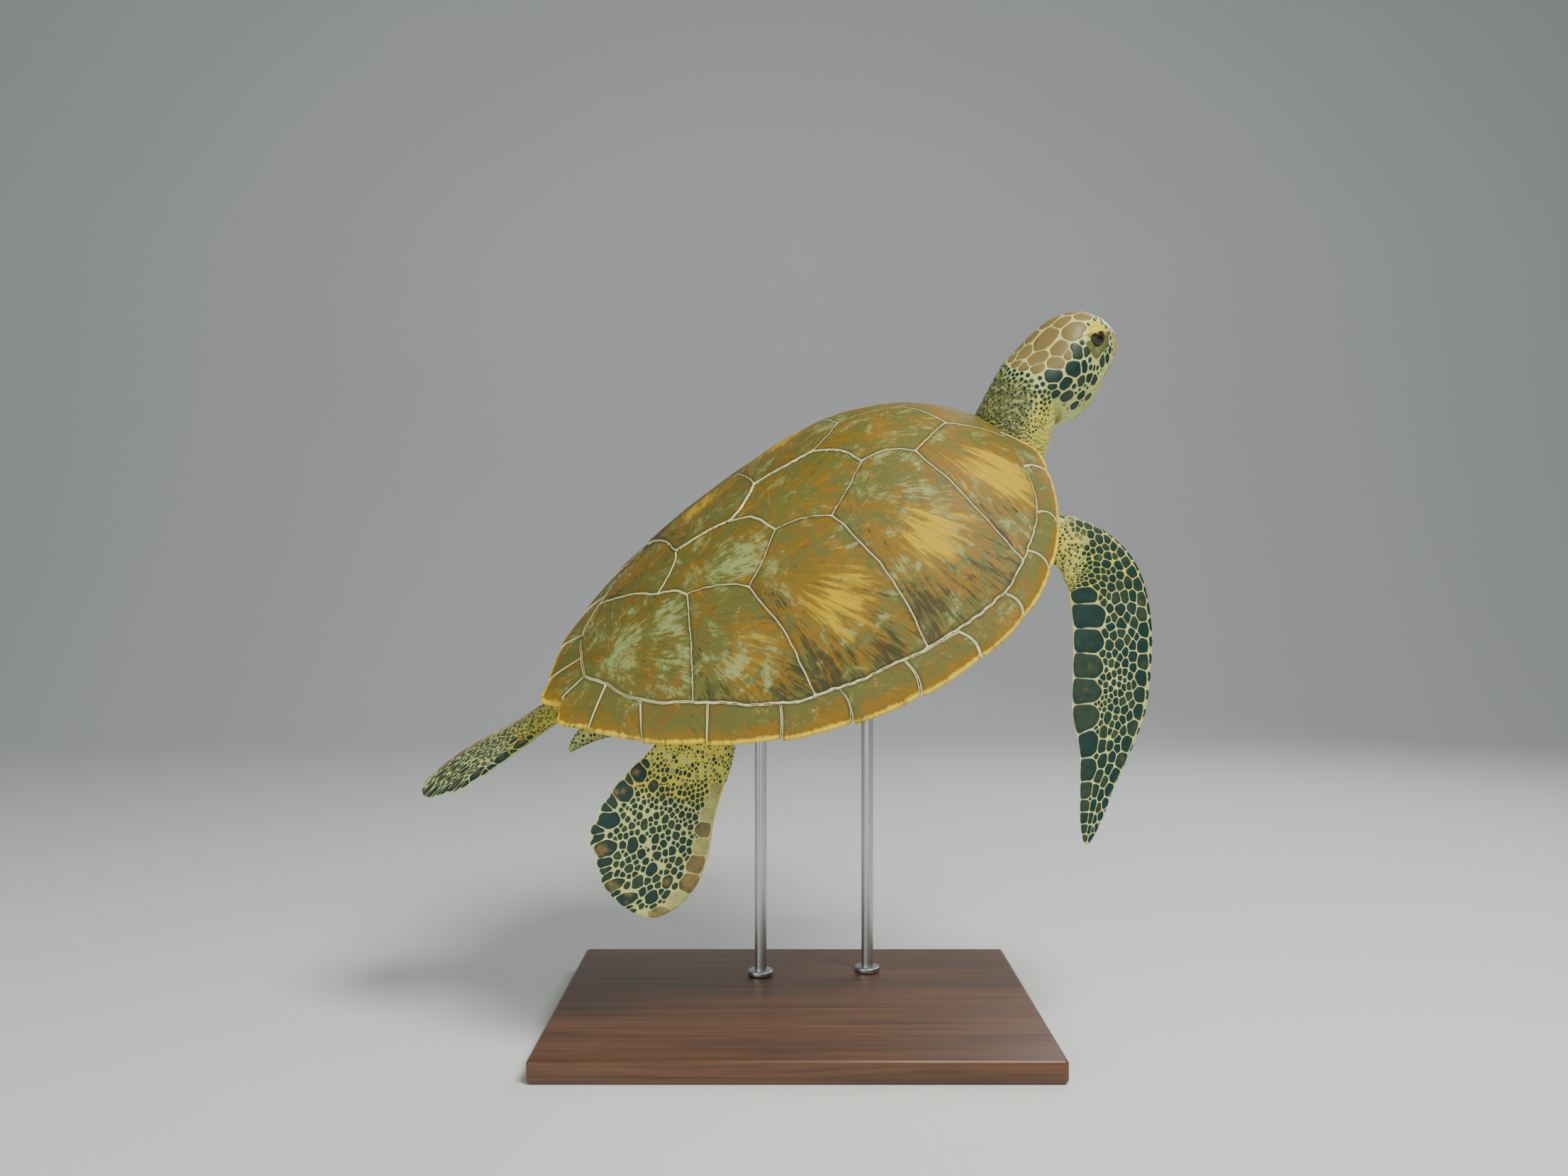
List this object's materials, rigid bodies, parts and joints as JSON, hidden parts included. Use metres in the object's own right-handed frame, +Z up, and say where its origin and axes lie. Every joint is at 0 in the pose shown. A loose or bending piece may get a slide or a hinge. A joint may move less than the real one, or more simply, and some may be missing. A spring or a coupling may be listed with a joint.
{
  "type": "green sea turtle model",
  "caption": "Life-size still model of a swimming green sea turtle, banked and climbing, carried by two short rods on a flat base.",
  "frame": {"origin": "centre of the stand base's underside, on the floor", "axes": "+Z up; the base's long side along X; the turtle swims towards +X and a little +Y, nose up, its left side raised"},
  "size_m": [0.8013, 0.6007, 0.7932],
  "materials": {
    "shell": "horn plates, satin, streaked brown, orange and olive",
    "plastron": "pale yellow horn, satin",
    "skin": "leathery skin with dark scales, satin",
    "head": "plated skin and horny beak, satin",
    "eye": "wet, high gloss",
    "stand_wood": "dark stained, satin",
    "stand_steel": "brushed"
  },
  "bodies": {
    "root": {"nuchal": "shell", "vertebral_1": "shell", "vertebral_2": "shell", "vertebral_3": "shell", "vertebral_4": "shell", "vertebral_5": "shell", "costal_left_1": "shell", "costal_left_2": "shell", "costal_left_3": "shell", "costal_left_4": "shell", "marginal_left_1": "shell", "marginal_left_2": "shell", "marginal_left_3": "shell", "marginal_left_4": "shell", "marginal_left_5": "shell", "marginal_left_6": "shell", "marginal_left_7": "shell", "marginal_left_8": "shell", "marginal_left_9": "shell", "marginal_left_10": "shell", "marginal_left_11": "shell", "marginal_left_12": "shell", "costal_right_1": "shell", "costal_right_2": "shell", "costal_right_3": "shell", "costal_right_4": "shell", "marginal_right_1": "shell", "marginal_right_2": "shell", "marginal_right_3": "shell", "marginal_right_4": "shell", "marginal_right_5": "shell", "marginal_right_6": "shell", "marginal_right_7": "shell", "marginal_right_8": "shell", "marginal_right_9": "shell", "marginal_right_10": "shell", "marginal_right_11": "shell", "marginal_right_12": "shell", "plastron": "plastron", "bridge_left": "plastron", "bridge_right": "plastron", "trunk": "skin", "neck": "skin", "tail": "skin", "front_flipper_left": "skin", "front_flipper_right": "skin", "rear_flipper_left": "skin", "rear_flipper_right": "skin", "head": "head", "lower_jaw": "head", "eye_left": "eye", "eye_right": "eye", "stand_base": "stand_wood", "stand_rod_1": "stand_steel", "stand_rod_2": "stand_steel"}
  },
  "joints": []
}
